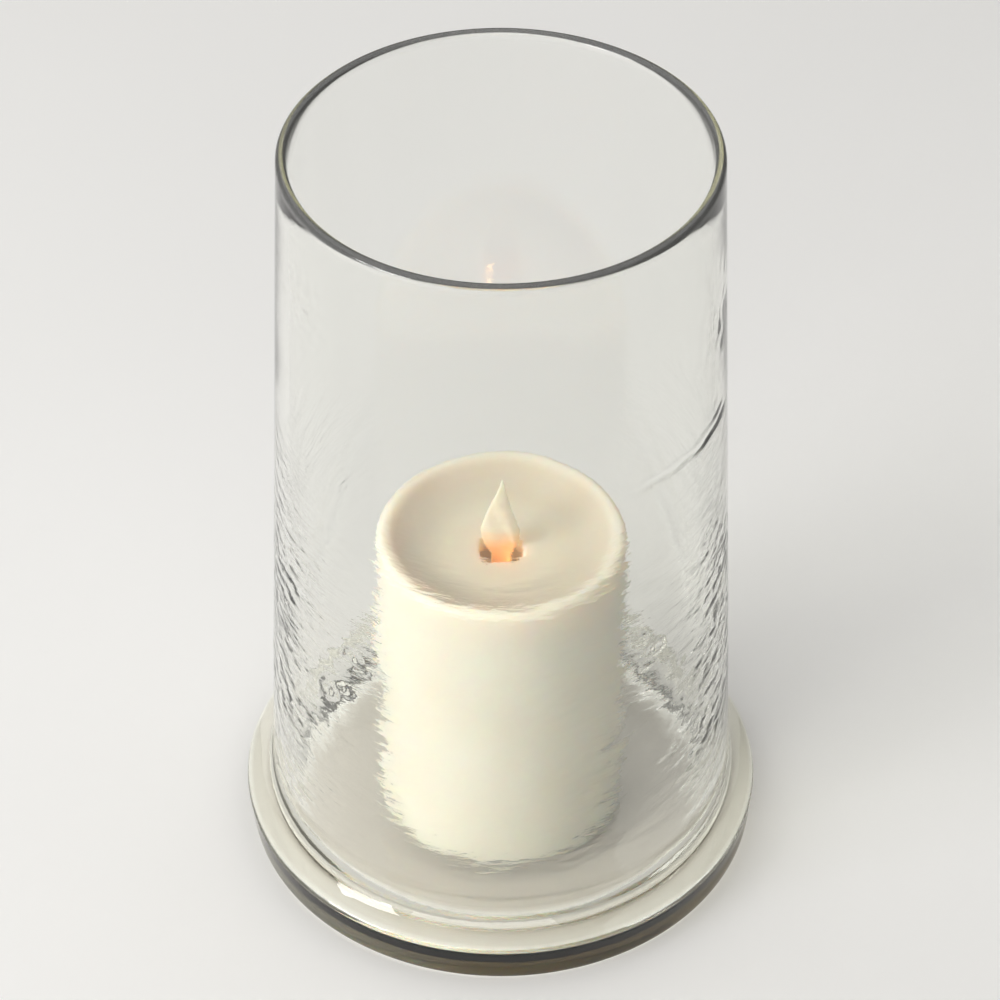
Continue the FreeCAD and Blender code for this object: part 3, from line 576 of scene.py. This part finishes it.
def build_flame():
    """The flame-shaped leaf, thick in the middle and thin at its edges, on a flat tail."""
    columns, rows = 28, 110
    low, high = FLAME_LOW.z / MM, FLAME_TIP - 0.05
    points, faces = [], []
    for row in range(rows + 1):
        height = low + (high - low) * row / rows
        width = flame_width(height)
        rise = smooth_step(FLAME_BASE - 1, FLAME_TIP, height)
        lean = 0.9 * math.sin(math.pi * rise * 1.15) * rise
        flare = smooth_step(FLAME_BASE - 2, FLAME_BASE + 6, height)
        thick = 0.48 + flare * (0.9 * width / FLAME_HALF_WIDTH - 0.25)
        for step in range(columns):
            angle = 2 * math.pi * step / columns
            round_x = math.copysign(abs(math.cos(angle)) ** 0.8, math.cos(angle))
            x = width * round_x - lean * flare
            y = thick * math.sin(angle) + 0.25 * math.sin(x * 1.1 + height * 0.35) * flare * 0.6
            points.append((x * MM, y * MM, height * MM))
    for row in range(rows):
        for step in range(columns):
            side = (step + 1) % columns
            faces.append((row * columns + step, row * columns + side,
                          (row + 1) * columns + side, (row + 1) * columns + step))
    faces.append(tuple(reversed(range(columns))))
    faces.append(tuple(range(rows * columns, (rows + 1) * columns)))
    piece = make_mesh("flame_leaf", points, faces)
    give(piece, flame_film())
    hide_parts("flame_paddle")
    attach(piece, "flame")


def flame_film():
    """Cream film with painted light: orange colour and emission low on the leaf stand in for the lamp shining
    up on it.
    """
    film = Shader(
        "flame_film",
        Roughness=0.38,
        Subsurface_Weight=0.7,
        Subsurface_Scale=0.003,
        Subsurface_Radius=(1.0, 0.6, 0.3),
    )
    mottle = film.noise(420, detail=4)
    cream = film.ramp(mottle, [(0.3, (0.68, 0.63, 0.51)), (0.7, (0.74, 0.695, 0.575))])
    # Painted light: the orange base colour low on the leaf stands in for the lamp's light.
    body = film.node("MixRGB")
    film.link(film.height(0.106, 0.114), body.inputs["Fac"])
    body.inputs["Color1"].default_value = (0.70, 0.42, 0.20, 1)
    film.link(cream, body.inputs["Color2"])
    film.colour(body.outputs["Color"])
    film.normal(film.bump(film.noise(700, detail=3), 0.0001, 0.6))
    rise = film.height(0.101, 0.126)
    # Painted light: orange emission, strongest at the foot, stands in for the lamp shining up on the leaf.
    lamp_glow_colour = film.ramp(rise, [
        (0.0, (1.0, 0.26, 0.05)), (0.26, (1.0, 0.42, 0.10)),
        (0.46, (1.0, 0.72, 0.36)), (0.8, (1.0, 0.9, 0.7))])
    power = film.ramp(rise, [
        (0.0, (1, 1, 1)), (0.24, (0.85, 0.85, 0.85)), (0.46, (0.22, 0.22, 0.22)), (0.9, (0.06, 0.06, 0.06))])
    film.link(lamp_glow_colour, film.base.inputs["Emission Color"])
    film.link(film.maths("MULTIPLY", power, 0.19), film.base.inputs["Emission Strength"])
    return film


# ---------------------------------------------------------------- finishes of the CAD pieces

def moulded(name, dark, light, roughness, grain=1400):
    """Moulded plastic with a fine spark-eroded grain and faint flow clouds."""
    plastic = Shader(name, IOR=1.5)
    plastic.colour(plastic.ramp(plastic.noise(55, detail=3), [(0.3, dark), (0.7, light)]))
    plastic.roughness(plastic.levels(plastic.noise(grain * 0.4), roughness - 0.07, roughness + 0.09))
    plastic.normal(plastic.bump(plastic.noise(grain, detail=3), 0.00005, 0.5))
    return plastic


def metal(name, dark, light, roughness, stretch=(400, 400, 4000)):
    """Plated metal with fine drawn lines."""
    plate = Shader(name, Metallic=1.0)
    plate.colour(plate.ramp(plate.noise(220, detail=4), [(0.3, dark), (0.7, light)]))
    lines = plate.noise(1.0, detail=3, stretch=stretch)
    plate.roughness(plate.levels(lines, roughness - 0.08, roughness + 0.12))
    plate.normal(plate.bump(lines, 0.00003, 0.4))
    return plate


def cell_jacket():
    """A plain charcoal jacket with a bare metal band at each end."""
    jacket = Shader("cell_jacket", Coat_Weight=0.6, Coat_Roughness=0.12)
    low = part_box("aa_cell_front")[0].z
    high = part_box("aa_cell_front")[1].z
    share = jacket.height(low, high)
    steel = (0.72, 0.71, 0.68)
    jacket.colour(jacket.ramp(share, [(0.0, steel), (0.035, (0.05, 0.06, 0.07)), (0.955, (0.07, 0.08, 0.09)),
                                      (0.965, steel)]))
    bare, covered = (1, 1, 1), (0, 0, 0)
    metal_ends = jacket.ramp(share, [(0.0, bare), (0.035, covered), (0.955, covered), (0.965, bare)])
    jacket.link(metal_ends, jacket.base.inputs["Metallic"])
    jacket.roughness(jacket.levels(jacket.noise(300), 0.24, 0.4))
    return jacket


def board_laminate():
    """Green solder mask over a weave, with paler tracks."""
    board = Shader("board_laminate", Coat_Weight=0.5, Coat_Roughness=0.2)
    tracks = board.node("TexBrick", offset=0.5)
    tracks.inputs["Scale"].default_value = 1.0
    tracks.inputs["Mortar Size"].default_value = 0.06
    tracks.inputs["Color1"].default_value = (0.02, 0.16, 0.07, 1)
    tracks.inputs["Color2"].default_value = (0.025, 0.19, 0.08, 1)
    tracks.inputs["Mortar"].default_value = (0.05, 0.30, 0.14, 1)
    board.link(board.place((320, 320, 320)), tracks.inputs["Vector"])
    board.colour(tracks.outputs["Color"])
    board.roughness(board.levels(board.noise(900), 0.35, 0.55))
    board.normal(board.bump(tracks.outputs["Fac"], 0.00005, 0.8))
    return board


def copper_wire():
    """Close turns of enamelled wire."""
    wire = Shader("copper_wire", Metallic=1.0, Coat_Weight=0.8, Coat_Roughness=0.1)
    turns = wire.node("TexWave", wave_type="BANDS", bands_direction="Z")
    turns.inputs["Scale"].default_value = 620
    turns.inputs["Distortion"].default_value = 0.6
    wire.link(wire.place(), turns.inputs["Vector"])
    wire.colour(wire.ramp(turns.outputs["Fac"], [(0.0, (0.30, 0.09, 0.03)), (1.0, (0.86, 0.40, 0.20))]))
    wire.roughness(wire.levels(turns.outputs["Fac"], 0.5, 0.24))
    wire.normal(wire.bump(turns.outputs["Fac"], 0.0002))
    return wire


def lamp_epoxy():
    """A warm-white lamp that is switched on."""
    lamp = Shader("lamp_epoxy", Roughness=0.12, Coat_Weight=1.0)
    cloud = lamp.noise(500)
    lamp.colour(lamp.ramp(cloud, [(0.3, (1.0, 0.62, 0.25)), (0.7, (1.0, 0.75, 0.40))]))
    lamp.base.inputs["Emission Color"].default_value = (1.0, 0.52, 0.18, 1)
    lamp.base.inputs["Emission Strength"].default_value = 25.0
    return lamp


def finish_nodes():
    """Give each CAD piece that still shows the finish of its own slot."""
    finishes = {
        "white_plastic": moulded("white_plastic", (0.74, 0.73, 0.70), (0.80, 0.79, 0.76), 0.42),
        "ivory_plastic": moulded("ivory_plastic", (0.76, 0.70, 0.56), (0.82, 0.77, 0.64), 0.46),
        "black_plastic": moulded("black_plastic", (0.012, 0.012, 0.013), (0.03, 0.03, 0.032), 0.38),
        "resistor_ceramic": moulded("resistor_ceramic", (0.02, 0.02, 0.025), (0.06, 0.06, 0.07), 0.3),
        "capacitor_can": moulded("capacitor_can", (0.02, 0.025, 0.05), (0.04, 0.05, 0.09), 0.25),
        "red_insulation": moulded("red_insulation", (0.42, 0.015, 0.01), (0.55, 0.03, 0.02), 0.4, 2200),
        "black_insulation": moulded("black_insulation", (0.012, 0.012, 0.012), (0.03, 0.03, 0.03), 0.4, 2200),
        "nickel_plate": metal("nickel_plate", (0.62, 0.59, 0.53), (0.74, 0.71, 0.66), 0.26),
        "screw_steel": metal("screw_steel", (0.50, 0.50, 0.49), (0.66, 0.66, 0.65), 0.32),
        "magnet_nickel": metal("magnet_nickel", (0.66, 0.65, 0.62), (0.80, 0.79, 0.77), 0.16,
                               (300, 300, 300)),
        "cell_jacket": cell_jacket(),
        "board_laminate": board_laminate(),
        "copper_wire": copper_wire(),
        "lamp_epoxy": lamp_epoxy(),
    }
    replaced = {"hurricane_glass", "wax_shell", "flame_paddle"}
    for part in frame["record"]["subparts"]:
        if part["node"] not in replaced:
            give(NODES[part["node"]], finishes[part["material_slot"]])


# ---------------------------------------------------------------- floor, light and camera

CAMERA_PLACE = (0.0, -0.7378, 0.7693)
CAMERA_PITCH = 41.20
CAMERA_LENS = 118.66
GLASS_BOUNCES = 24


FLOOR_HALF = 3.0
FLOOR_LEVEL = -0.0003


def build_floor():
    signs = [(-1, -1), (1, -1), (1, 1), (-1, 1)]
    corners = [(x * FLOOR_HALF, y * FLOOR_HALF, FLOOR_LEVEL) for x, y in signs]
    sweep = make_mesh("floor", corners, [(0, 1, 2, 3)], smooth=False)
    paper = Shader("floor_paper", Roughness=0.75, Specular_IOR_Level=0.2)
    cloud = paper.noise(3, detail=2)
    paper.colour(paper.ramp(cloud, [(0.3, (0.93, 0.926, 0.92)), (0.7, (0.95, 0.946, 0.94))]))
    paper.normal(paper.bump(paper.noise(700, detail=3), 0.00003, 0.3))
    give(sweep, paper)


def area_light(name, place, target, width, height, power, colour):
    """A soft panel that faces a point."""
    data = bpy.data.lights.new(name, "AREA")
    data.shape = "RECTANGLE"
    data.size = width
    data.size_y = height
    data.energy = power
    data.color = colour
    lamp = bpy.data.objects.new(name, data)
    lamp.location = place
    aim = Vector(target) - Vector(place)
    lamp.rotation_euler = aim.to_track_quat("-Z", "Y").to_euler()
    bpy.context.scene.collection.objects.link(lamp)


def build_light():
    area_light("key_left", (-1.38, -0.86, 0.85), (0, 0, 0.06), 0.8, 0.6, 18.8, (1.0, 0.99, 0.975))
    area_light("overhead", (-0.1, 0.7, 1.7), (-0.1, 0.6, 0), 3.0, 2.6, 24, (0.996, 0.998, 1.0))
    area_light("front_fill", (-0.3, -2.3, 1.25), (0, 0, 0.1), 2.6, 1.0, 14.5, (1.0, 0.995, 0.985))
    world = bpy.data.worlds.new("studio")
    world.use_nodes = True
    back = world.node_tree.nodes["Background"]
    back.inputs["Color"].default_value = (0.58, 0.55, 0.47, 1)
    back.inputs["Strength"].default_value = 0.22
    bpy.context.scene.world = world


def build_camera():
    data = bpy.data.cameras.new("camera")
    data.lens = CAMERA_LENS
    data.sensor_width = 36.0
    data.shift_x = -0.001
    camera = bpy.data.objects.new("camera", data)
    camera.location = CAMERA_PLACE
    camera.rotation_euler = (math.radians(90 - CAMERA_PITCH), 0, 0)
    bpy.context.scene.collection.objects.link(camera)
    bpy.context.scene.camera = camera


def set_colour():
    scene = bpy.context.scene
    scene.view_settings.view_transform = "Standard"
    scene.cycles.max_bounces = GLASS_BOUNCES
    scene.cycles.transmission_bounces = GLASS_BOUNCES
    scene.cycles.transparent_max_bounces = GLASS_BOUNCES
    scene.cycles.glossy_bounces = 8


build_camera()
build_floor()
build_light()
set_colour()
build_glass()
build_wax()
build_flame()
finish_nodes()
